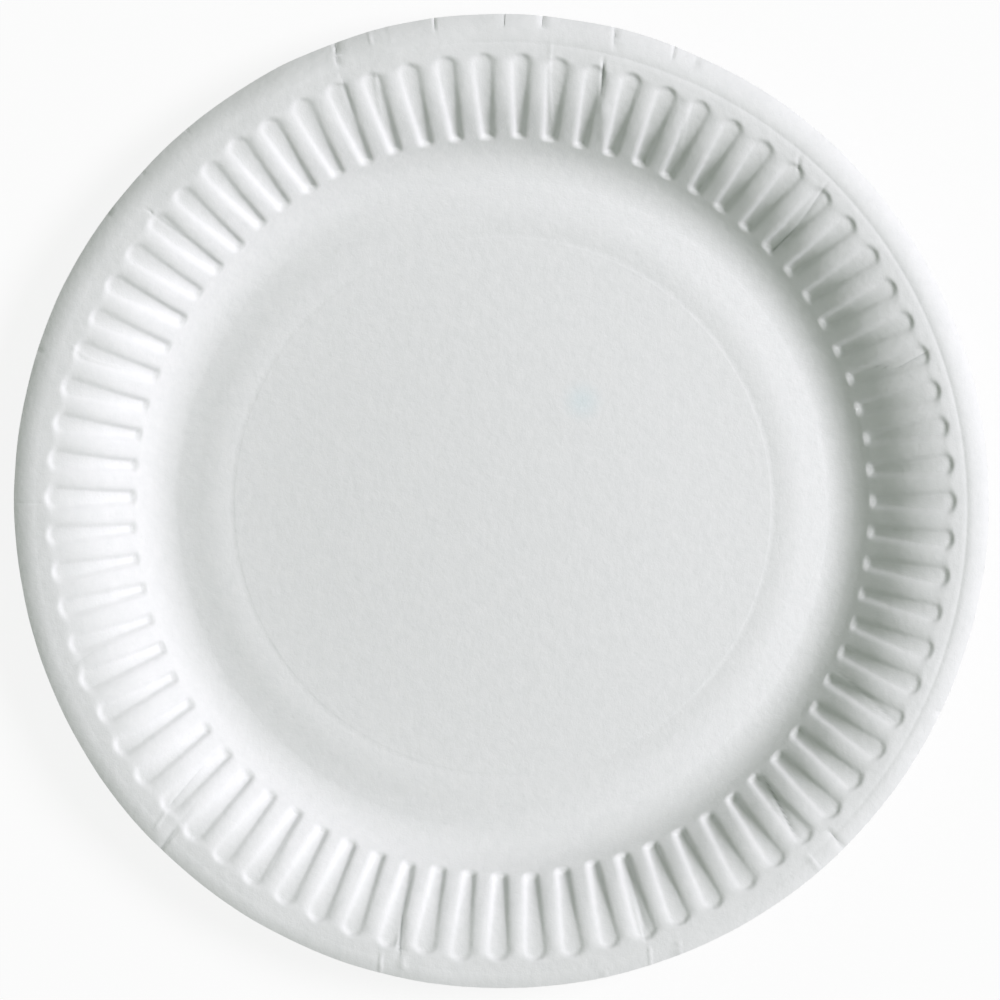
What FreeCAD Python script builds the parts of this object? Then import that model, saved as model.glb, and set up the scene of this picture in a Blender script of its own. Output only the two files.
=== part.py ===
import FreeCAD, Part
import math
import os
from FreeCAD import Vector

# A round plate pressed from one sheet of board. Radial flutes in its wall take up the fullness of the
# sheet where it turns from the bottom up to the rim, and the rim ends in a lip that turns down.
# The bottom is crowned: its middle stands a little higher than its edge.
# The plate stands on a narrow ring on the plane z = 0 and its flutes are centred on the z axis.
# The cut edge is a circle of its own, a little off the middle of the flutes.

os.makedirs("parts", exist_ok=True)
doc = FreeCAD.newDocument("pressed_plate")

# Driving dimensions, in millimetres and degrees
dimensions = [
    ("board", 0.5, "thickness of the board"),
    ("rim_radius", 115.0, "radius of the cut edge"),
    ("rim_shift", 1.5, "distance along y from the middle of the flutes to the middle of the cut edge"),
    ("score_radius", 64.0, "radius of the line pressed into the bottom"),
    ("score_width", 0.6, "width of that line"),
    ("score_depth", 0.06, "depth of that line"),
    ("crown_rise", 2.4, "height of the crowned bottom's middle over its pressed line"),
    ("crown_radius", 45.0, "radius where the round part of the crown gives way to an even slope"),
    ("crown_top_radius", 20.0, "radius of the flat middle of the crown"),
    ("crown_sides", 25, "number of flat sides round the crown"),
    ("bottom_radius", 66.5, "radius of the bottom's edge, where it falls to the ring under the plate"),
    ("bottom_rise", 1.7, "height of that edge over the ring"),
    ("ring_radius", 77.9, "mean radius of that ring"),
    ("ring_width", 1.2, "width of that ring"),
    ("heel_radius", 11.0, "radius of the bend from the ring into the wall"),
    ("wall_angle", 43.0, "steepest slope of the wall"),
    ("shoulder_radius", 22.5, "radius of the bend from the wall into the level top"),
    ("shoulder_end_angle", 6.0, "slope where the bend of a ridge gives way to a flat stretch"),
    ("top_start", 107.9, "radius where the grooves end and the level top begins"),
    ("top_width", 2.1, "width of the level top"),
    ("lip_end_angle", 31.8, "slope of the lip at the cut edge, where the lip is of middling width"),
    ("flute_count", 75, "number of flutes"),
    ("flute_turn", 1.0, "angle of the first groove from the x axis"),
    ("flute_start", 87.6, "radius where the grooves begin"),
    ("ridge_width", 1.8, "width of the ridge between two grooves"),
    ("groove_depth", 0.95, "depth of a groove at its outer end"),
    ("groove_depth_inside", 0.75, "depth of a groove at its inner end"),
    ("flank_run", 1.7, "width of a groove's side, seen from above"),
    ("groove_nose", 4.2, "width of the blunt tip at the outer end of a groove"),
    ("groove_end_run", 1.2, "length of the slope at the outer end of a groove, seen from above"),
    ("groove_start_run", 0.7, "length of the slope at the inner end of a groove, seen from above"),
]
sizes = doc.addObject("Spreadsheet::Sheet", "sizes")
for row, (alias, value, meaning) in enumerate(dimensions, start=1):
    sizes.set(f"A{row}", meaning)
    sizes.set(f"B{row}", str(value))
    sizes.setAlias(f"B{row}", alias)
doc.recompute()


def size(alias):
    return float(sizes.get(alias))


board = size("board")
flute_count = round(size("flute_count"))
flutes_per_side = flute_count // round(size("crown_sides"))
pitch = 360 / flute_count
half_pitch = math.radians(pitch / 2)
slope = math.radians(size("wall_angle"))
end_slope = math.radians(size("shoulder_end_angle"))
heel_radius = size("heel_radius")
shoulder_radius = size("shoulder_radius")
flute_start = size("flute_start")
top_start = size("top_start")
top_end = top_start + size("top_width")
lip_radius = (size("rim_radius") - top_end) / math.sin(math.radians(size("lip_end_angle")))
ring_inside = size("ring_radius") - size("ring_width") / 2
ring_outside = size("ring_radius") + size("ring_width") / 2
groove_depth = size("groove_depth")

# The upper face in section: a heel arc, a straight wall and a shoulder arc that ends level
heel_end = ring_outside + heel_radius * math.sin(slope)
heel_top = board + heel_radius * (1 - math.cos(slope))
wall_end = top_start - shoulder_radius * math.sin(slope)
wall_top = heel_top + (wall_end - heel_end) * math.tan(slope)
top_height = wall_top + shoulder_radius * (1 - math.cos(slope))

# The bends of the shoulder and of the lip are each made up of this many straight stretches
shoulder_parts = 4
lip_parts = 3


def spaced(start, end, parts):
    return [start + (end - start) * step / parts for step in range(parts + 1)]


def pairs(items):
    return list(zip(items, items[1:]))


def placed(x, y, z, degrees):
    """The point (x, y, z) turned about the plate's axis."""
    angle = math.radians(degrees)
    across = x * math.cos(angle) - y * math.sin(angle)
    along = x * math.sin(angle) + y * math.cos(angle)
    return Vector(across, along, z)


def corner(x, z, degrees):
    """The corner where two flutes meet, on a ring of flat sides that lie x from the axis."""
    return placed(x / math.cos(half_pitch), 0, z, degrees)


def line(start, end):
    return Part.LineSegment(start, end).toShape()


def arc(stations):
    return Part.Arc(*stations).toShape()


def flat(*points):
    """A flat face with these corners."""
    return Part.Face(Part.makePolygon(points + points[:1]))


def strip(first, second):
    """The face ruled with straight lines between two edges."""
    return Part.makeRuledSurface(first, second)


def around(x, z):
    """The closed ring with one flat side for each flute."""
    return Part.makePolygon([corner(x, z, pitch * n) for n in range(flute_count + 1)])


def level(outer, inner):
    """The level face between two closed outlines."""
    return Part.makeFace([outer, inner], "Part::FaceMakerBullseye")


# Points of the section: each lies the depth under the upper face, measured square to it

def heel_point(angle, depth):
    radius = heel_radius + depth
    return ring_outside + radius * math.sin(angle), board + heel_radius - radius * math.cos(angle)


def wall_point(x, depth):
    z = heel_top + (x - heel_end) * math.tan(slope)
    return x + depth * math.sin(slope), z - depth * math.cos(slope)


def shoulder_point(angle, depth):
    radius = shoulder_radius - depth
    return top_start - radius * math.sin(angle), top_height - shoulder_radius + radius * math.cos(angle)


def lip_point(angle, depth):
    radius = lip_radius - depth
    return top_end + radius * math.sin(angle), top_height - lip_radius + radius * math.cos(angle)


def crown_height(radius):
    """The height over the pressed line: the crown is round in the middle and slopes evenly outside that."""
    steepest = size("crown_rise") / (size("score_radius") - size("crown_radius") / 2)
    return size("crown_rise") - steepest * radius ** 2 / (2 * size("crown_radius"))


def rim_reach(degrees):
    """The distance from the plate's axis to the cut edge, in a direction counted from the first groove."""
    angle = math.radians(degrees + size("flute_turn"))
    aside = size("rim_shift") * math.cos(angle)
    return size("rim_shift") * math.sin(angle) + math.sqrt(size("rim_radius") ** 2 - aside ** 2)


def lip_section(half_flutes, depth):
    """The stations of the lip, from the level top to the cut edge, this many half flutes round."""
    degrees = half_flutes * pitch / 2
    turn = math.asin((rim_reach(degrees) - top_end) / (lip_radius - depth))
    points = [lip_point(angle, depth) for angle in spaced(0, turn, lip_parts)]
    return [placed(x, 0, z, degrees) for x, z in points]


def side_of_sheet(depth):
    """The faces of one side of the sheet, which lies the depth under the upper face."""
    # where a slope meets a level, an edge of the under side lies this much further out
    flank_shift = depth * math.tan(math.atan2(groove_depth, size("flank_run")) / 2)
    end_shift = depth * math.tan(math.atan2(groove_depth, size("groove_end_run")) / 2)
    half_ridge = size("ridge_width") / 2 - flank_shift

    # one flute's stretch of the slope round the bottom, and of the heel
    bottom = size("bottom_radius")
    bottom_z = board + size("bottom_rise") - depth
    ring_z = board - depth
    flute = [flat(corner(bottom, bottom_z, 0), corner(bottom, bottom_z, pitch),
                  corner(ring_inside, ring_z, pitch), corner(ring_inside, ring_z, 0))]
    heel = [heel_point(angle, depth) for angle in spaced(0, slope, 2)]
    heel_edges = [arc([corner(x, z, degrees) for x, z in heel]) for degrees in (0, pitch)]
    flute.append(strip(*heel_edges))

    # the stations along a ridge
    start_x, start_z = wall_point(flute_start, depth)
    ridge = [(start_x, start_z)]
    ridge += [shoulder_point(angle, depth) for angle in spaced(slope, end_slope, shoulder_parts)]
    end_x, end_z = ridge[-1]

    def ridge_point(x, z, side, degrees):
        return placed(x, side * half_ridge, z, degrees)

    # the ridge stands half a pitch from the groove, and flat stretches join it to the heel and to the top
    ridge_turn = pitch / 2
    for near, far in pairs(ridge):
        flute.append(flat(ridge_point(*near, -1, ridge_turn), ridge_point(*near, 1, ridge_turn),
                          ridge_point(*far, 1, ridge_turn), ridge_point(*far, -1, ridge_turn)))
    heel_x, heel_z = heel[-1]
    flute.append(flat(
        corner(heel_x, heel_z, 0), corner(start_x, start_z, 0),
        ridge_point(start_x, start_z, -1, ridge_turn), ridge_point(start_x, start_z, 1, ridge_turn),
        corner(start_x, start_z, pitch), corner(heel_x, heel_z, pitch)))
    top_x = top_start + end_shift
    top_z = top_height - depth
    nose_y = top_x * math.tan(half_pitch) - size("groove_nose") / 2 - flank_shift
    flute.append(flat(
        ridge_point(end_x, end_z, -1, ridge_turn), ridge_point(end_x, end_z, 1, ridge_turn),
        placed(top_x, nose_y, top_z, ridge_turn), placed(top_x, -nose_y, top_z, ridge_turn)))

    # the floor of the groove follows the ridge, deeper towards the rim
    groove_depths = spaced(size("groove_depth_inside"), groove_depth, shoulder_parts + 1)
    floor_depths = [depth + deep for deep in groove_depths]
    floor_end = top_start - size("groove_end_run") + end_shift
    floor_end_slope = math.asin((top_start - floor_end) / (shoulder_radius - floor_depths[-1]))
    floor = [wall_point(flute_start + size("groove_start_run") - end_shift, floor_depths[0])]
    floor += [shoulder_point(angle, deep)
              for angle, deep in zip(spaced(slope, floor_end_slope, shoulder_parts), floor_depths[1:])]

    def floor_point(station, side):
        x, z = station
        return Vector(x, side * (x * math.tan(half_pitch) - half_ridge - size("flank_run")), z)

    for near, far in pairs(floor):
        flute.append(flat(floor_point(near, -1), floor_point(near, 1),
                          floor_point(far, 1), floor_point(far, -1)))

    # the sides and the two ends of the groove
    groove_start = corner(start_x, start_z, 0)
    groove_end = corner(top_x, top_z, 0)
    for side in (-1, 1):
        high = [ridge_point(x, z, -side, side * ridge_turn) for x, z in ridge]
        low = [floor_point(station, side) for station in floor]
        flute += [strip(line(*upper), line(*lower)) for upper, lower in zip(pairs(high), pairs(low))]
        nose = placed(top_x, -side * nose_y, top_z, side * ridge_turn)
        flute.append(flat(groove_start, high[0], floor_point(floor[0], side)))
        flute.append(flat(high[-1], nose, floor_point(floor[-1], side)))
        flute.append(flat(nose, groove_end, floor_point(floor[-1], side)))
    flute.append(flat(groove_start, floor_point(floor[0], -1), floor_point(floor[0], 1)))
    flute.append(flat(groove_end, floor_point(floor[-1], -1), floor_point(floor[-1], 1)))

    # the pressed line is a shallow V round the crown of the bottom
    half_score = size("score_width") / 2
    score = [
        (size("score_radius") - half_score, bottom_z),
        (size("score_radius"), bottom_z - size("score_depth")),
        (size("score_radius") + half_score, bottom_z),
    ]
    for (near_x, near_z), (far_x, far_z) in pairs(score):
        flute.append(flat(corner(near_x, near_z, 0), corner(near_x, near_z, pitch),
                          corner(far_x, far_z, pitch), corner(far_x, far_z, 0)))

    upwards = Vector(0, 0, 1)
    turned_flutes = [face.rotated(Vector(), upwards, pitch * n) for n in range(flute_count) for face in flute]

    # the level rings and the lip close the sheet round the flutes
    lip = [lip_section(n, depth) for n in range(2 * flute_count)]
    lip.append(lip[0])
    top_outline = []
    for n in range(flute_count):
        ridge_at = pitch * n + ridge_turn
        top_outline += [corner(top_x, top_z, pitch * n), placed(top_x, -nose_y, top_z, ridge_at),
                        placed(top_x, nose_y, top_z, ridge_at)]
    crown = []
    for radius in (size("crown_top_radius"), size("crown_radius")):
        z = bottom_z + crown_height(radius)
        crown.append([placed(radius, 0, z, pitch * n) for n in range(0, flute_count + 1, flutes_per_side)])
    crown_edge = [corner(*score[0], pitch * n) for n in range(flute_count + 1)]
    rings = [
        Part.Face(Part.makePolygon(crown[0])),
        level(around(bottom, bottom_z), around(*score[-1])),
        level(around(ring_outside, ring_z), around(ring_inside, ring_z)),
        level(Part.makePolygon([stations[0] for stations in lip]),
              Part.makePolygon(top_outline + top_outline[:1])),
    ]
    for n, ((near, next_near), (far, next_far)) in enumerate(zip(pairs(crown[0]), pairs(crown[1]))):
        fan = crown_edge[n * flutes_per_side:(n + 1) * flutes_per_side + 1]
        half_way = flutes_per_side // 2
        rings += [flat(near, far, next_far, next_near), flat(far, fan[half_way], fan[half_way + 1], next_far)]
        rings += [flat(far, *side) for side in pairs(fan[:half_way + 1])]
        rings += [flat(next_far, *side) for side in pairs(fan[half_way + 1:])]
    for here, there in pairs(lip):
        rings += [strip(line(*this), line(*that)) for this, that in zip(pairs(here), pairs(there))]
    return turned_flutes + rings


def cut_edge():
    """The faces of the cut edge, between the two sides of the sheet."""
    faces = []
    for n in range(2 * flute_count):
        upper, next_upper = lip_section(n, 0)[-1], lip_section(n + 1, 0)[-1]
        under, next_under = lip_section(n, board)[-1], lip_section(n + 1, board)[-1]
        faces.append(flat(upper, next_upper, next_under, under))
    return faces


sheet = Part.Compound(side_of_sheet(0) + side_of_sheet(board) + cut_edge())
sheet.sewShape()
solid = Part.Solid(sheet.Shells[0])
if solid.Volume < 0:
    solid.reverse()

plate = doc.addObject("Part::Feature", "plate")
plate.Label = "plate"
plate.Shape = solid
plate.Placement = FreeCAD.Placement(Vector(), FreeCAD.Rotation(Vector(0, 0, 1), size("flute_turn")))
plate.setExpression("Placement.Rotation.Angle", "sizes.flute_turn * 1 deg")
doc.recompute()

# Nothing is written unless the whole sheet closed into one sound solid
for item in doc.Objects:
    if "Invalid" in item.State or "Error" in item.State:
        raise RuntimeError(f"{item.Label} did not recompute")
if plate.Shape.isNull() or not plate.Shape.isValid() or len(sheet.Shells) != 1 or not solid.isClosed():
    raise RuntimeError("the sheet did not close")
plate.Shape.exportStep(f"parts/{plate.Label}.step")
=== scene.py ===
import math

import bmesh
import bpy
import numpy as np
from mathutils import Matrix, Vector


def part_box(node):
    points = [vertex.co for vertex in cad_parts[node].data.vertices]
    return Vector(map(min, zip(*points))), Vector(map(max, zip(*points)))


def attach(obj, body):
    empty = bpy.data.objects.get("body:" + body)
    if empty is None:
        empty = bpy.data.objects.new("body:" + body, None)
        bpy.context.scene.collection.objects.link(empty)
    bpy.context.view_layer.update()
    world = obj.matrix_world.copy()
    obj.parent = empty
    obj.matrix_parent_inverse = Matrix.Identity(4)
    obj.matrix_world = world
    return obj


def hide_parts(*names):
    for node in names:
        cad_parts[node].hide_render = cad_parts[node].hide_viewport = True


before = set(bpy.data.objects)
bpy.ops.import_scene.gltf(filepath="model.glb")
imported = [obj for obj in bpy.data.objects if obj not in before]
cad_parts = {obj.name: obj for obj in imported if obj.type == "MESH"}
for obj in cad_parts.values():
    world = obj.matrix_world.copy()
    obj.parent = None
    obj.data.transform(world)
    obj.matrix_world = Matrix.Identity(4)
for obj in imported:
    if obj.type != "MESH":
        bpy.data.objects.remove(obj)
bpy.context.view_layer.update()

# The sheet: one round blank of white board, pressed warm between two dies.
# It has a crowned bottom with a pressed line, a low ring to stand on, and a wall that sweeps up to the rim.
MM = 0.001
low, high = [Vector(corner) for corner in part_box("plate")]
RIM_RADIUS = (high.x - low.x) / 2
RIM_SHIFT = (high.y + low.y) / 2
TOP_HEIGHT = high.z
BOARD = 0.5 * MM
CROWN_RISE = 2.4 * MM
CROWN_RADIUS = 45.0 * MM
BOTTOM_HEIGHT = 2.2 * MM
BOTTOM_RADIUS = 66.5 * MM
SCORE_RADIUS = 64.0 * MM
SCORE_WIDTH = 0.6 * MM
SCORE_DEPTH = 0.06 * MM
FALL_SLOPE = math.radians(12)
FALL_BEND_END = 72.0 * MM
RING_HEIGHT = 0.5 * MM
RING_START = 77.6 * MM
RING_END = 78.5 * MM
RING_EASE = 0.6 * MM
RING_EASE_RISE = 0.1 * MM
HEEL_RADIUS = 11.0 * MM
LOWER_HEEL_SLOPE = math.radians(24)
WALL_SLOPE = math.radians(43)
SHOULDER_RADIUS = 22.5 * MM
TOP_START = 107.9 * MM
TOP_END = 110.0 * MM
RIM_LINE_DEPTH = 0.1 * MM
RIM_LINE_WIDTH = 0.55 * MM
RIM_LINE_SIDE = math.radians(35)
RIM_LINE_MEAN = 0.3
RIM_LINE_SWING = 1.2
RIM_LINE_LEAST = 0.15
# Rings of the crowned bottom and of the wall, by radius: closest where the grooves begin and end
CROWN_RINGS = list(np.linspace(5 * MM, 60 * MM, 11))
BEND_RINGS = 6
WALL_RINGS = [r * MM for r in (
    83.5, 84.8, 85.9, 86.4, 86.8, 87.2, 87.6, 88.1, 89.2, 90.9, 92.6, 94.3, 96.0, 97.7, 99.4, 101.0, 102.6,
    104.0, 105.0, 105.6, 106.1, 106.6, 107.0, 107.4, 107.9, 108.6,
)]
LIP_RADIUS = 9.5 * MM
FLUTE_COUNT = 75
FLUTE_TURN = math.radians(1.0)
# Columns of the mesh in half a flute, as shares of the pitch from a groove's middle, closest on its side
FLUTE_COLUMNS = (0.0, 0.055, 0.1, 0.145, 0.19, 0.235, 0.28, 0.36)
BOTTOM_COLUMNS = 240
LIP_RINGS = 6


def bend(centre, radius, start_slope, end_slope, count, side):
    """Stations (radius from the axis, height) along an arc; side is 1 for a hollow and -1 for a crown."""
    slopes = np.linspace(start_slope, end_slope, count)
    reach = side * radius
    return [(centre[0] + reach * math.sin(s), centre[1] - reach * math.cos(s)) for s in slopes]


def crown_height(radius):
    """The height over the pressed line: round in the middle, then an even slope."""
    steepest = CROWN_RISE / (SCORE_RADIUS - CROWN_RADIUS / 2)
    if radius > CROWN_RADIUS:
        return steepest * (SCORE_RADIUS - radius)
    return CROWN_RISE - steepest * radius ** 2 / (2 * CROWN_RADIUS)


def bottom_stations():
    """Radius and height of each ring, from the crowned bottom to the lower part of the heel."""
    half = SCORE_WIDTH / 2
    reach = SCORE_RADIUS - half
    crown = [(r, BOTTOM_HEIGHT + crown_height(r)) for r in CROWN_RINGS + [reach - half, reach]]
    score = [(SCORE_RADIUS, BOTTOM_HEIGHT - SCORE_DEPTH), (SCORE_RADIUS + 3 * half, BOTTOM_HEIGHT)]
    fall_radius = (FALL_BEND_END - BOTTOM_RADIUS) / math.sin(FALL_SLOPE)
    fall = bend((BOTTOM_RADIUS, BOTTOM_HEIGHT - fall_radius), fall_radius, 0, -FALL_SLOPE, BEND_RINGS, -1)
    eased = (RING_START - RING_EASE, RING_HEIGHT + RING_EASE_RISE)
    ring = [eased, (RING_START, RING_HEIGHT + RING_EASE_RISE / 5)]
    heel_centre = (RING_END, RING_HEIGHT + HEEL_RADIUS)
    heel = bend(heel_centre, HEEL_RADIUS, 0, LOWER_HEEL_SLOPE, BEND_RINGS, 1)
    return crown + score + fall + ring + heel


def wall_height(radius):
    """The height of the heel, the straight wall, the shoulder and the level top, before the flutes."""
    heel_end = RING_END + HEEL_RADIUS * math.sin(WALL_SLOPE)
    wall_end = TOP_START - SHOULDER_RADIUS * math.sin(WALL_SLOPE)
    if radius < heel_end:
        return RING_HEIGHT + HEEL_RADIUS - math.sqrt(HEEL_RADIUS ** 2 - (radius - RING_END) ** 2)
    if radius < wall_end:
        shoulder_drop = SHOULDER_RADIUS * (1 - math.cos(WALL_SLOPE))
        return TOP_HEIGHT - shoulder_drop - (wall_end - radius) * math.tan(WALL_SLOPE)
    inside = max(TOP_START - radius, 0)
    return TOP_HEIGHT - SHOULDER_RADIUS + math.sqrt(SHOULDER_RADIUS ** 2 - inside ** 2)


def rim_line_depth(angle):
    """The fine line where the lip begins is deepest on one side and almost fades out on the other."""
    share = RIM_LINE_MEAN + RIM_LINE_SWING * math.cos(angle - RIM_LINE_SIDE)
    return RIM_LINE_DEPTH * min(1, max(RIM_LINE_LEAST, share))


def rim_reach(angle):
    """The distance from the flutes' axis to the cut edge."""
    return RIM_SHIFT * math.sin(angle) + math.sqrt(RIM_RADIUS ** 2 - (RIM_SHIFT * math.cos(angle)) ** 2)


def column_angles():
    """The angle of each column of the mesh, the same number of them in every flute."""
    pitch = math.tau / FLUTE_COUNT
    shares = [-s for s in reversed(FLUTE_COLUMNS[1:])] + list(FLUTE_COLUMNS) + [0.5]
    return [FLUTE_TURN + pitch * (n + share) for n in range(FLUTE_COUNT) for share in shares]


def ring_of(mesh, stations):
    """The vertices of one ring, given (radius, angle, height) for each."""
    return [mesh.verts.new((r * math.cos(a), r * math.sin(a), z)) for r, a, z in stations]


def bridge(mesh, inner, outer):
    """Faces between two rings, where the outer one has a whole number of vertices for each inner one."""
    share = len(outer) // len(inner)
    for i, vertex in enumerate(inner):
        following = inner[(i + 1) % len(inner)]
        fan = [outer[(i * share + k) % len(outer)] for k in range(share + 1)]
        if share == 1:
            mesh.faces.new((vertex, fan[0], fan[1], following))
            continue
        middle = share // 2
        for k in range(share):
            near = vertex if k < middle else following
            mesh.faces.new((near, fan[k], fan[k + 1]))
        mesh.faces.new((vertex, fan[middle], following))


def spun_sheet():
    """The sheet before its flutes, as one smooth face. Each point keeps the number of its ring."""
    mesh = bmesh.new()
    columns = column_angles()
    share = len(columns) // BOTTOM_COLUMNS
    few = columns[::share]
    rings = [ring_of(mesh, [(r, a, z) for a in few]) for r, z in bottom_stations()]
    wall = [(r, wall_height(r)) for r in WALL_RINGS]
    wall.append((TOP_END - RIM_LINE_WIDTH / 2, TOP_HEIGHT))
    rings += [ring_of(mesh, [(r, a, z) for a in columns]) for r, z in wall]
    rings.append(ring_of(mesh, [(TOP_END, a, TOP_HEIGHT - rim_line_depth(a)) for a in columns]))
    rings.append(ring_of(mesh, [(TOP_END + RIM_LINE_WIDTH / 2, a, TOP_HEIGHT) for a in columns]))
    for part in np.linspace(0, 1, LIP_RINGS + 2)[2:]:
        lip = []
        for a in columns:
            turn = part * math.asin((rim_reach(a) - TOP_END) / LIP_RADIUS)
            drop = LIP_RADIUS * (1 - math.cos(turn))
            lip.append((TOP_END + LIP_RADIUS * math.sin(turn), a, TOP_HEIGHT - drop))
        rings.append(ring_of(mesh, lip))
    middle = mesh.verts.new((0, 0, BOTTOM_HEIGHT + CROWN_RISE))
    for i, vertex in enumerate(rings[0]):
        mesh.faces.new((middle, vertex, rings[0][(i + 1) % len(rings[0])]))
    for inner, outer in zip(rings, rings[1:]):
        bridge(mesh, inner, outer)
    data = bpy.data.meshes.new("plate_sheet")
    mesh.to_mesh(data)
    mesh.free()
    ring_of_vertex = [n for n, ring in enumerate(rings) for _ in ring] + [-1]
    data.attributes.new("ring", "INT", "POINT").data.foreach_set("value", ring_of_vertex)
    data.shade_smooth()
    plate = bpy.data.objects.new("plate_sheet", data)
    bpy.context.collection.objects.link(plate)
    return plate


plate = spun_sheet()

# The flutes: 75 grooves pressed down into the wall, wider and shallower towards the rim, blunt at both ends.
# The fullness of the board lies in them, so no two are quite alike.


def add_node(tree, kind, *inputs, **settings):
    """Adds a node, sets it, and gives its inputs in order: a node, a socket or a plain value."""
    node = tree.nodes.new(kind)
    for name, value in settings.items():
        setattr(node, name, value)
    for socket, value in zip([s for s in node.inputs if s.enabled], inputs):
        if isinstance(value, bpy.types.Node):
            value = next(s for s in value.outputs if s.enabled)
        if isinstance(value, bpy.types.NodeSocket):
            tree.links.new(value, socket)
        elif value is not None:
            socket.default_value = value
    return node


flute_sizes = {
    "Flute count": FLUTE_COUNT,
    "Flute turn": FLUTE_TURN,
    "Ridge at start": 5.6 * MM,
    "Ridge at end": 4.85 * MM,
    "Groove start": 87.4 * MM,
    "Groove end": 106.7 * MM,
    "Depth at start": 1.1 * MM,
    "Depth at end": 0.62 * MM,
    "Floor sag": 0.2 * MM,
    "Side at start": 1.5 * MM,
    "Side at end": 2.4 * MM,
    "Start steepness": 3.0,
    "Start rounding": 0.12 / MM,
    "Start blend": 0.8 * MM,
    "End steepness": 2.9,
    "Side swell": 2.1,
    "Place variation": 0.16 * MM,
    "Ridge variation": 0.35 * MM,
    "End variation": 0.35 * MM,
    "Start variation": 0.3 * MM,
    "Depth variation": 0.14,
    "Waviness": 0.35 * MM,
    "Wave scale": 45.0,
    "Wave start": 84.0 * MM,
    "Wave end": 110.0 * MM,
}


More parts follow.
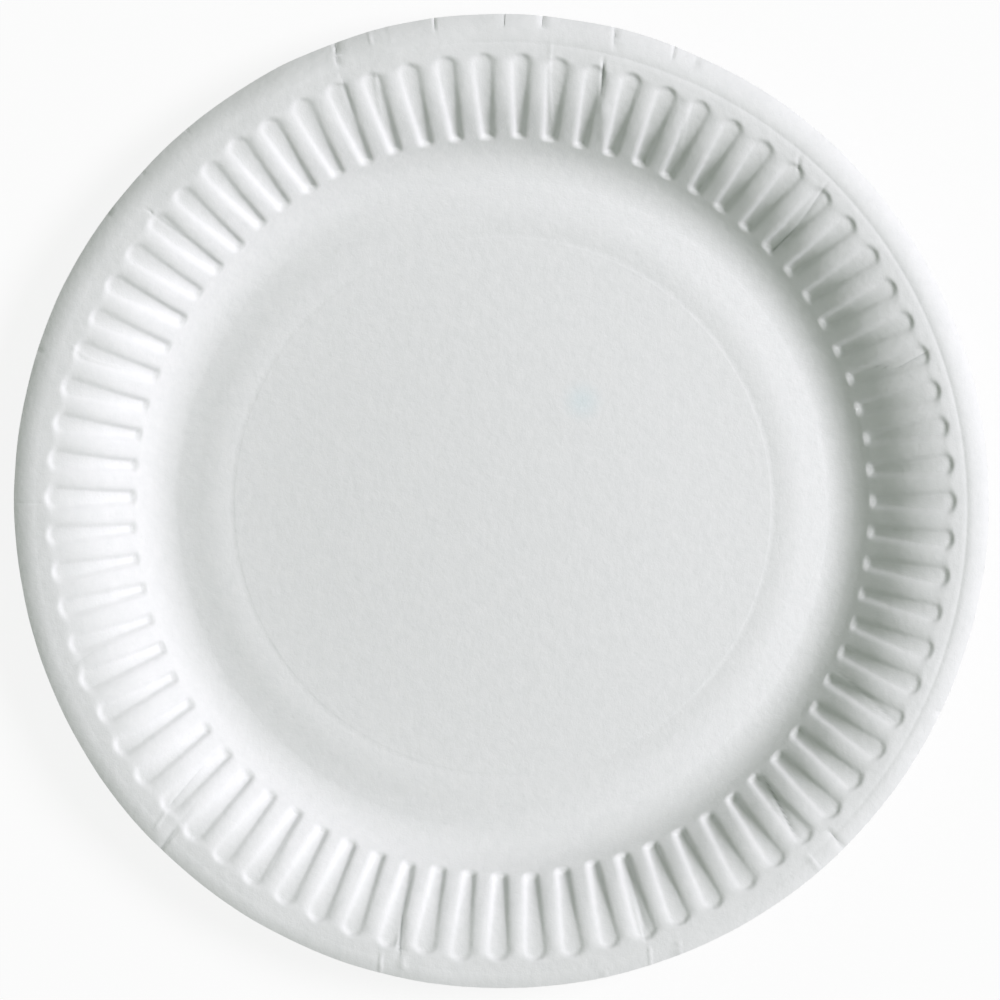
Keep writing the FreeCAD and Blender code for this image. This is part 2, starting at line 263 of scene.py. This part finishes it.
def flute_tree(sizes):
    """The press: it moves each point of the sheet along its normal by the depth of the flute there."""
    tree = bpy.data.node_groups.new("pressed flutes", "GeometryNodeTree")
    tree.interface.new_socket("Geometry", in_out="INPUT", socket_type="NodeSocketGeometry")
    tree.interface.new_socket("Geometry", in_out="OUTPUT", socket_type="NodeSocketGeometry")
    for name in sizes:
        tree.interface.new_socket(name, in_out="INPUT", socket_type="NodeSocketFloat")
    tree.interface.new_socket("Board", in_out="INPUT", socket_type="NodeSocketMaterial")
    given = add_node(tree, "NodeGroupInput").outputs
    place = add_node(tree, "ShaderNodeSeparateXYZ", add_node(tree, "GeometryNodeInputPosition"))
    flat_place = add_node(tree, "ShaderNodeCombineXYZ", place.outputs["X"], place.outputs["Y"], 0.0)
    radius = add_node(tree, "ShaderNodeVectorMath", flat_place, operation="LENGTH")
    angle = add_node(tree, "ShaderNodeMath", place.outputs["Y"], place.outputs["X"], operation="ARCTAN2")

    # which groove a point belongs to, and how far it lies from that groove's middle line
    from_first = add_node(tree, "ShaderNodeMath", angle, given["Flute turn"], operation="SUBTRACT")
    pitch = add_node(tree, "ShaderNodeMath", math.tau, given["Flute count"], operation="DIVIDE")
    turns = add_node(tree, "ShaderNodeMath", from_first, pitch, operation="DIVIDE")
    nearest = add_node(tree, "ShaderNodeMath", turns, operation="ROUND")
    groove = add_node(tree, "ShaderNodeMath", nearest, given["Flute count"], operation="FLOORED_MODULO")
    off_middle = add_node(tree, "ShaderNodeMath", turns, nearest, operation="SUBTRACT")
    arc_pitch = add_node(tree, "ShaderNodeMath", pitch, radius, operation="MULTIPLY")
    aside = add_node(tree, "ShaderNodeMath", off_middle, arc_pitch, operation="MULTIPLY")

    def uneven(name, seed):
        """A value of its own for each groove, up to the named variation either way."""
        share = add_node(tree, "FunctionNodeRandomValue", -1.0, 1.0, groove, seed, data_type="FLOAT")
        return add_node(tree, "ShaderNodeMath", share, given[name], operation="MULTIPLY")

    aside = add_node(tree, "ShaderNodeMath", aside, uneven("Place variation", 1), operation="ADD")
    ridge = add_node(tree, "ShaderNodeMapRange", radius, given["Groove start"], given["Groove end"],
                     given["Ridge at start"], given["Ridge at end"])
    ridge = add_node(tree, "ShaderNodeMath", ridge, uneven("Ridge variation", 2), operation="ADD")
    widths = add_node(tree, "ShaderNodeMath", arc_pitch, ridge, operation="SUBTRACT")
    half_groove = add_node(tree, "ShaderNodeMath", widths, 0.5, operation="MULTIPLY")

    # the distance in from the foot of the groove's side, negative on the side itself; the ends are steeper
    off_end = uneven("End variation", 3)
    groove_end = add_node(tree, "ShaderNodeMath", given["Groove end"], off_end, operation="ADD")
    past_end = add_node(tree, "ShaderNodeMath", radius, groove_end, operation="SUBTRACT")
    past_nose = add_node(tree, "ShaderNodeMath", past_end, half_groove, operation="ADD")
    past_nose = add_node(tree, "ShaderNodeMath", past_nose, 0.0, operation="MAXIMUM")
    across = add_node(tree, "ShaderNodeCombineXYZ", aside, past_nose, 0.0)
    off_line = add_node(tree, "ShaderNodeVectorMath", across, operation="LENGTH")
    inside = add_node(tree, "ShaderNodeMath", half_groove, off_line, operation="SUBTRACT")
    facing_rim = add_node(tree, "ShaderNodeMath", past_nose, off_line, operation="DIVIDE")
    facing_rim = add_node(tree, "ShaderNodeMath", facing_rim, 2.0, operation="POWER")
    steepness = add_node(tree, "ShaderNodeMapRange", facing_rim, 0.0, 1.0, 1.0, given["End steepness"])
    inside = add_node(tree, "ShaderNodeMath", inside, steepness, operation="MULTIPLY")
    off_start = uneven("Start variation", 4)
    groove_start = add_node(tree, "ShaderNodeMath", given["Groove start"], off_start, operation="ADD")
    aside_square = add_node(tree, "ShaderNodeMath", aside, aside, operation="MULTIPLY")
    start_line = add_node(tree, "ShaderNodeMath", aside_square, given["Start rounding"], groove_start,
                          operation="MULTIPLY_ADD")
    in_start = add_node(tree, "ShaderNodeMath", radius, start_line, operation="SUBTRACT")
    in_start = add_node(tree, "ShaderNodeMath", in_start, given["Start steepness"], operation="MULTIPLY")
    inside = add_node(tree, "ShaderNodeMath", inside, in_start, given["Start blend"], operation="SMOOTH_MIN")

    # the depth there: the side swells over from the ridge and is steepest at its foot
    side = add_node(tree, "ShaderNodeMapRange", radius, given["Groove start"], given["Groove end"],
                    given["Side at start"], given["Side at end"])
    crest = add_node(tree, "ShaderNodeMath", side, -1.0, operation="MULTIPLY")
    down_side = add_node(tree, "ShaderNodeMapRange", inside, crest, 0.0, 0.0, 1.0)
    share = add_node(tree, "ShaderNodeMath", down_side, given["Side swell"], operation="POWER")
    depth = add_node(tree, "ShaderNodeMapRange", radius, given["Groove start"], given["Groove end"],
                     given["Depth at start"], given["Depth at end"])
    variation = add_node(tree, "ShaderNodeMath", uneven("Depth variation", 5), 1.0, operation="ADD")
    depth = add_node(tree, "ShaderNodeMath", depth, variation, operation="MULTIPLY")
    pressed = add_node(tree, "ShaderNodeMath", depth, share, operation="MULTIPLY")

    # the floor sags a little between the feet of its sides
    from_middle = add_node(tree, "ShaderNodeMapRange", inside, 0.0, half_groove, 1.0, 0.0)
    level_share = add_node(tree, "ShaderNodeMath", from_middle, from_middle, operation="MULTIPLY")
    sag_share = add_node(tree, "ShaderNodeMath", 1.0, level_share, operation="SUBTRACT")
    sag_share = add_node(tree, "ShaderNodeMath", sag_share, share, operation="MULTIPLY")
    sag = add_node(tree, "ShaderNodeMath", sag_share, given["Floor sag"], operation="MULTIPLY")
    pressed = add_node(tree, "ShaderNodeMath", pressed, sag, operation="ADD")

    # the wall and rim are a little wavy, while the ring below stays flat on the table
    wave = add_node(tree, "ShaderNodeTexNoise", None, given["Wave scale"], 1.0, normalize=False)
    wavy = add_node(tree, "ShaderNodeMapRange", radius, given["Wave start"], given["Wave end"],
                    0.0, given["Waviness"])
    waves = add_node(tree, "ShaderNodeMath", wave, wavy, operation="MULTIPLY")
    pressed = add_node(tree, "ShaderNodeMath", pressed, waves, operation="ADD")
    down = add_node(tree, "ShaderNodeMath", pressed, -1.0, operation="MULTIPLY")
    outwards = add_node(tree, "GeometryNodeInputNormal")
    move = add_node(tree, "ShaderNodeVectorMath", outwards, operation="SCALE")
    tree.links.new(down.outputs[0], move.inputs["Scale"])
    fluted = add_node(tree, "GeometryNodeSetPosition", given["Geometry"])
    tree.links.new(move.outputs[0], fluted.inputs["Offset"])
    single = add_node(tree, "GeometryNodeRealizeInstances", fluted)
    coated = add_node(tree, "GeometryNodeSetMaterial", single)
    tree.links.new(given["Board"], coated.inputs["Material"])
    add_node(tree, "NodeGroupOutput", coated)
    return tree


def from_hex(colour):
    """An sRGB hex value as linear red, green and blue, with an alpha of one."""
    values = [int(colour[i:i + 2], 16) / 255 for i in (0, 2, 4)]
    return tuple(v / 12.92 if v <= 0.04045 else ((v + 0.055) / 1.055) ** 2.4 for v in values) + (1.0,)


BOARD_COLOURS = ("e7e8e9", "f1f1f2")
CLOUD_SIZE = 3.0 * MM
# Painted shade: a grey mixed into the board's colour where the folds are deepest, in place of the shade
# inside the creases and nicks
FOLD_SHADE_COLOUR = "8f9593"
FOLD_SHADE_SCALE = 2.2
FOLD_SHADE_STRENGTH = 0.55
STAIN_COLOUR = "dfeaee"
STAIN_PLACE = (19.0 * MM, 25.0 * MM, 4.0 * MM)
STAIN_RADIUS = 6.0 * MM
STAIN_STRENGTH = 0.65
FELT_SIZE = 2.0 * MM
FELT_WEIGHT = 3.5
FIBRE_SIZE = 0.35 * MM
GRAIN_HEIGHT = 0.06 * MM
GRAIN_STRENGTH = 0.6


def uncoated_paperboard():
    """Bleached board, pressed and not coated: matt and a little cloudy in tone, with the soft grain of
    the felt that it dried on, fibres in that, painted shade darkening the folds and one faint blue spot. The
    fibres are drawn coarser than they are, so that they show."""
    material = bpy.data.materials.new("uncoated_paperboard")
    material.use_nodes = True
    tree = material.node_tree
    board = tree.nodes["Principled BSDF"]
    board.inputs["Roughness"].default_value = 0.85
    board.inputs["IOR"].default_value = 1.45
    board.inputs["Specular IOR Level"].default_value = 0.25
    place = add_node(tree, "ShaderNodeTexCoord").outputs["Object"]
    clouds = add_node(tree, "ShaderNodeTexNoise", place, 1 / CLOUD_SIZE, 3.0, 0.6)
    tint = add_node(tree, "ShaderNodeMix", clouds, data_type="RGBA")
    for side, colour in zip("AB", BOARD_COLOURS):
        tint.inputs[side].default_value = from_hex(colour)
    # Painted shade: the board turns grey by the depth of each fold, standing in for the shade that falls
    # inside the creases
    fold = add_node(tree, "ShaderNodeAttribute", attribute_name="fold").outputs["Fac"]
    line = add_node(tree, "ShaderNodeMath", fold, FOLD_SHADE_SCALE, operation="MULTIPLY", use_clamp=True)
    line = add_node(tree, "ShaderNodeMath", line, 2.0, operation="POWER")
    shadow = add_node(tree, "ShaderNodeMath", line, FOLD_SHADE_STRENGTH, operation="MULTIPLY")
    fold_shaded = add_node(tree, "ShaderNodeMix", shadow, data_type="RGBA")
    tree.links.new(tint.outputs["Result"], fold_shaded.inputs["A"])
    fold_shaded.inputs["B"].default_value = from_hex(FOLD_SHADE_COLOUR)
    from_stain = add_node(tree, "ShaderNodeVectorMath", place, STAIN_PLACE, operation="DISTANCE")
    faint = add_node(tree, "ShaderNodeMapRange", from_stain, 0.0, STAIN_RADIUS, STAIN_STRENGTH, 0.0,
                     interpolation_type="SMOOTHSTEP")
    stained = add_node(tree, "ShaderNodeMix", faint, data_type="RGBA")
    tree.links.new(fold_shaded.outputs["Result"], stained.inputs["A"])
    stained.inputs["B"].default_value = from_hex(STAIN_COLOUR)
    tree.links.new(stained.outputs["Result"], board.inputs["Base Color"])
    felt = add_node(tree, "ShaderNodeTexNoise", place, 1 / FELT_SIZE, 3.0, 0.55)
    felt = add_node(tree, "ShaderNodeMath", felt, FELT_WEIGHT, operation="MULTIPLY")
    fibres = add_node(tree, "ShaderNodeTexNoise", place, 1 / FIBRE_SIZE, 2.0, 0.6)
    both = add_node(tree, "ShaderNodeMath", felt, fibres, operation="ADD")
    grain = tree.nodes.new("ShaderNodeBump")
    grain.inputs["Strength"].default_value = GRAIN_STRENGTH
    grain.inputs["Distance"].default_value = GRAIN_HEIGHT
    tree.links.new(both.outputs[0], grain.inputs["Height"])
    tree.links.new(grain.outputs[0], board.inputs["Normal"])
    return material


paperboard = uncoated_paperboard()
press = plate.modifiers.new("press", "NODES")
press.node_group = flute_tree(flute_sizes)
for item in press.node_group.interface.items_tree:
    if item.in_out == "INPUT" and item.name in flute_sizes:
        press[item.identifier] = float(flute_sizes[item.name])
    if item.in_out == "INPUT" and item.name == "Board":
        press[item.identifier] = paperboard
pressed_mesh = bpy.data.meshes.new_from_object(plate.evaluated_get(bpy.context.evaluated_depsgraph_get()))
plate.modifiers.clear()
plate.data = pressed_mesh

# The creases: where the board had nowhere to go it folded, in lines across the flutes and nicks in the lip.
# In each ring of the mesh the three nearest points are drawn to the fold and the middle one is pressed down.
FOLD_SHARPNESS = 1.5
CREASE_END_DEPTH = 0.2
CREASE_END_FADE = 4
NICK_OVERRUN = 0.5
# Angle at the outer and inner end in degrees, radius there, depth (negative if raised) and half width in mm
CREASES = [
    (20.4, 19.5, 108, 98.5, 0.32, 0.5), (19.5, 21.0, 98.5, 94.0, 0.3, 0.5),
    (45.0, 43.6, 109, 97, 0.3, 0.6), (43.6, 43.4, 98, 86.5, 0.4, 0.9),
    (49.9, 48.5, 109, 106, 0.3, 0.9), (65.3, 63.3, 107.5, 92, -0.15, 0.6),
    (77.1, 76.2, 109, 100, 0.5, 0.7), (76.2, 74.2, 101, 88, -0.4, 1.0),
    (83.8, 83.5, 111, 100, -0.15, 0.6), (83.5, 82.4, 101, 90, -0.2, 0.7),
    (106.0, 107.0, 107.5, 97, -0.2, 0.8), (110.1, 110.4, 109, 98, 0.3, 1.3),
    (139.6, 139.8, 109.5, 107, 0.25, 0.4), (139.8, 139.4, 107, 94, 0.12, 0.5),
    (159.3, 160.2, 108.5, 103, -0.2, 0.7), (160.2, 159.9, 104, 94, -0.12, 0.6),
    (179.4, 179.4, 116, 107, 0.15, 0.5), (200.6, 199.2, 109, 100, 0.15, 0.6),
    (223.0, 222.0, 112, 105, -0.2, 0.6), (222.2, 221.0, 107, 93, 0.25, 0.5),
    (225.4, 224.6, 116, 107, 0.35, 0.9), (224.7, 224.0, 108, 98, 0.15, 0.6),
    (238.0, 237.1, 105, 92, 0.15, 0.5), (257.4, 256.4, 109, 98, 0.5, 0.8),
    (256.4, 256.5, 99, 89, 0.3, 1.1), (258.3, 257.3, 112, 107, -0.25, 0.7),
    (288.6, 289.1, 109, 99, 0.2, 0.5), (289.2, 289.3, 108, 88, 0.3, 1.4),
    (311.9, 314.4, 105, 87.5, 0.45, 0.9), (314.9, 314.6, 107, 95, -0.25, 1.3),
    (331.7, 332.6, 106, 99, 0.2, 0.6), (332.6, 334.3, 100, 88, 0.3, 0.9),
]
# Angle at the cut edge and at the inner end in degrees, length, depth and half width in mm
NICKS = [
    (66.6, 66.2, 3.5, 0.1, 0.4), (69.4, 69.0, 3.8, 0.35, 0.4), (76.7, 76.1, 5.0, 0.35, 0.5),
    (85.1, 85.1, 3.5, 0.3, 0.35), (89.6, 89.6, 3.5, 0.3, 0.35), (97.7, 97.8, 3.5, 0.35, 0.35),
    (103.4, 103.5, 3.0, 0.1, 0.4), (105.5, 105.5, 3.5, -0.25, 0.4), (109.5, 110.2, 6.0, 0.4, 0.5),
    (129.7, 129.7, 1.8, 0.2, 0.4), (136.9, 136.9, 1.5, 0.2, 0.4), (143.2, 143.2, 1.5, 0.15, 0.4),
    (161.2, 161.3, 2.0, 0.25, 0.5), (255.6, 255.0, 5.0, -0.25, 0.5), (282.6, 282.8, 2.0, -0.2, 0.5),
    (288.2, 288.8, 5.0, -0.25, 0.5), (291.9, 292.5, 4.0, -0.15, 0.5), (311.5, 311.8, 5.5, -0.2, 0.5),
    (315.4, 315.7, 7.0, 0.25, 0.5), (335.0, 335.3, 2.0, 0.12, 0.4),
]


def crease_ring(row, crease):
    """Folds one ring of points across the crease, which leaves it alone where it does not reach."""
    outer_angle, inner_angle, outer, inner, depth, half_width = crease
    ring = sheet_points[row]
    radius = np.hypot(ring[:, 0], ring[:, 1]) / MM
    angle = np.degrees(np.arctan2(ring[:, 1], ring[:, 0])) % 360
    at = np.argmin(abs(angle - outer_angle))
    share = (radius[at] - inner) / (outer - inner)
    if not 0 <= share <= 1:
        return
    line = inner_angle + (outer_angle - inner_angle) * share
    at = np.argmin(abs(angle - line))
    aside = np.radians(angle - line) * radius
    order = np.argsort(aside)
    for k in (-1, 0, 1):
        i = (at + k) % len(row)
        moved = k * min(abs(aside[i]), half_width)
        sheet_points[row[i]] = [np.interp(moved, aside[order], ring[order, axis]) for axis in range(3)]
        aside[i] = moved
    fade = min(1, CREASE_END_DEPTH + CREASE_END_FADE * min(share, 1 - share))
    fold = np.clip(1 - abs(aside) / half_width, 0, 1) ** FOLD_SHARPNESS * fade
    sheet_points[row, 2] -= depth * MM * fold
    # Painted shade: the depth of each fold is kept for the material, which greys the board there as shade
    fold_shade_depth[row] = np.maximum(fold_shade_depth[row], depth * fold)


ring_number = np.empty(len(pressed_mesh.attributes["ring"].data), dtype=int)
pressed_mesh.attributes["ring"].data.foreach_get("value", ring_number)
sheet_points = np.array([vertex.co for vertex in pressed_mesh.vertices])
fold_shade_depth = np.zeros(len(sheet_points))
for number in range(len(bottom_stations()), ring_number.max() + 1):
    row = np.flatnonzero(ring_number == number)
    for crease in CREASES:
        crease_ring(row, crease)
    for edge_angle, inner_angle, length, depth, half_width in NICKS:
        edge = rim_reach(math.radians(edge_angle)) / MM + NICK_OVERRUN
        crease_ring(row, (edge_angle, inner_angle, edge, edge - length, depth, half_width))
# The fold depths go to the material as the attribute fold, for the painted shade in the creases and nicks
pressed_mesh.attributes.new("fold", "FLOAT", "POINT").data.foreach_set("value", fold_shade_depth)
pressed_mesh.vertices.foreach_set("co", sheet_points.ravel())
pressed_mesh.update()

# The board's thickness lies below the upper face, because the flutes were set out on that face.
# The blank was cut with a steel rule, so the edge all round the lip is sharp and square.
CUT_EDGE_ANGLE = math.radians(60)
thickness = plate.modifiers.new("board thickness", "SOLIDIFY")
thickness.thickness = BOARD
thickness.offset = -1
solid_mesh = bpy.data.meshes.new_from_object(plate.evaluated_get(bpy.context.evaluated_depsgraph_get()))
plate.modifiers.clear()
plate.data = solid_mesh
solid_mesh.set_sharp_from_angle(angle=CUT_EDGE_ANGLE)
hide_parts("plate")
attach(plate, "root")

# The floor: a plain matt table of white paint, wide enough to fill every view.
# The camera sees it almost white, and it keeps the plate's faint shadow.
FLOOR_SIZE = 3.0
FLOOR_COLOUR = "f4f4f4"
FLOOR_WHITENESS = 0.88
floor_mesh = bpy.data.meshes.new("floor")
half = FLOOR_SIZE / 2
corners = [(-half, -half, 0), (half, -half, 0), (half, half, 0), (-half, half, 0)]
floor_mesh.from_pydata(corners, [], [(0, 1, 2, 3)])
floor = bpy.data.objects.new("floor", floor_mesh)
bpy.context.collection.objects.link(floor)


def matt_white_table():
    """Matt paint, which mirrors nothing, mixed with plain white for what looks at it."""
    material = bpy.data.materials.new("matt_white_table")
    material.use_nodes = True
    tree = material.node_tree
    tree.nodes.clear()
    surface = add_node(tree, "ShaderNodeBsdfDiffuse", from_hex(FLOOR_COLOUR))
    white = add_node(tree, "ShaderNodeEmission", (1, 1, 1, 1), 1.0)
    rays = add_node(tree, "ShaderNodeLightPath").outputs
    seen = add_node(tree, "ShaderNodeMath", rays["Is Camera Ray"], rays["Is Glossy Ray"],
                    operation="MAXIMUM")
    seen = add_node(tree, "ShaderNodeMath", seen, rays["Is Transmission Ray"], operation="MAXIMUM")
    share = add_node(tree, "ShaderNodeMath", seen, FLOOR_WHITENESS, operation="MULTIPLY")
    mixed = add_node(tree, "ShaderNodeMixShader", share, surface, white)
    add_node(tree, "ShaderNodeOutputMaterial", mixed)
    return material


floor_mesh.materials.append(matt_white_table())

# The light: one soft lamp low on the right, a little towards the top of the picture, shows up the flutes.
# Pale walls, a little greener than the lamp and brighter overhead, fill the shade.
LAMP_COLOUR = "fcf8ff"
LAMP_POWER = 155
LAMP_AZIMUTH = math.radians(12)
LAMP_HEIGHT = math.radians(44)
LAMP_DISTANCE = 4.0
LAMP_WIDTH = 1.8
WALL_COLOUR = "ecfde5"
SIDE_STRENGTH = 0.1
TOP_STRENGTH = 0.315
lamp_data = bpy.data.lights.new("soft_lamp", "AREA")
lamp_data.shape = "DISK"
lamp_data.size = LAMP_WIDTH
lamp_data.energy = LAMP_POWER
lamp_data.color = from_hex(LAMP_COLOUR)[:3]
lamp = bpy.data.objects.new("soft_lamp", lamp_data)
bpy.context.collection.objects.link(lamp)
level = math.cos(LAMP_HEIGHT)
toward = Vector((level * math.cos(LAMP_AZIMUTH), level * math.sin(LAMP_AZIMUTH), math.sin(LAMP_HEIGHT)))
lamp.location = toward * LAMP_DISTANCE
lamp.rotation_euler = toward.to_track_quat("Z", "Y").to_euler()
world = bpy.data.worlds.new("pale_walls")
bpy.context.scene.world = world
world.use_nodes = True
walls = world.node_tree.nodes["Background"]
walls.inputs["Color"].default_value = from_hex(WALL_COLOUR)
sky = add_node(world.node_tree, "ShaderNodeTexCoord").outputs["Generated"]
up = add_node(world.node_tree, "ShaderNodeSeparateXYZ", sky)
brightness = add_node(world.node_tree, "ShaderNodeMapRange", up.outputs["Z"], 0.0, 1.0, SIDE_STRENGTH,
                      TOP_STRENGTH)
world.node_tree.links.new(brightness.outputs[0], walls.inputs["Strength"])

# The camera: almost straight above, a few degrees towards the right and the top of the picture.
# It stands well back, and the plate fills nearly all of its frame.
CAMERA_DISTANCE = 2.2
CAMERA_AIM_SHIFT = 0.6 * MM
SENSOR_WIDTH = 36
CAMERA_TILT_X = math.radians(2.4)
CAMERA_TILT_Y = math.radians(3.0)
PLATE_SHARE = 0.976
camera_data = bpy.data.cameras.new("camera")
camera = bpy.data.objects.new("camera", camera_data)
bpy.context.collection.objects.link(camera)
aim = Vector((0, RIM_SHIFT + CAMERA_AIM_SHIFT, TOP_HEIGHT))
away = Vector((math.tan(CAMERA_TILT_X), math.tan(CAMERA_TILT_Y), 1)).normalized()
camera.location = aim + away * CAMERA_DISTANCE
right = Vector((0, 1, 0)).cross(away).normalized()
upward = away.cross(right)
camera.rotation_euler = Matrix((right, upward, away)).transposed().to_euler()
camera_data.sensor_width = SENSOR_WIDTH
camera_data.lens = SENSOR_WIDTH * CAMERA_DISTANCE * PLATE_SHARE / (2 * RIM_RADIUS)
bpy.context.scene.camera = camera
bpy.context.scene.view_settings.view_transform = "Standard"
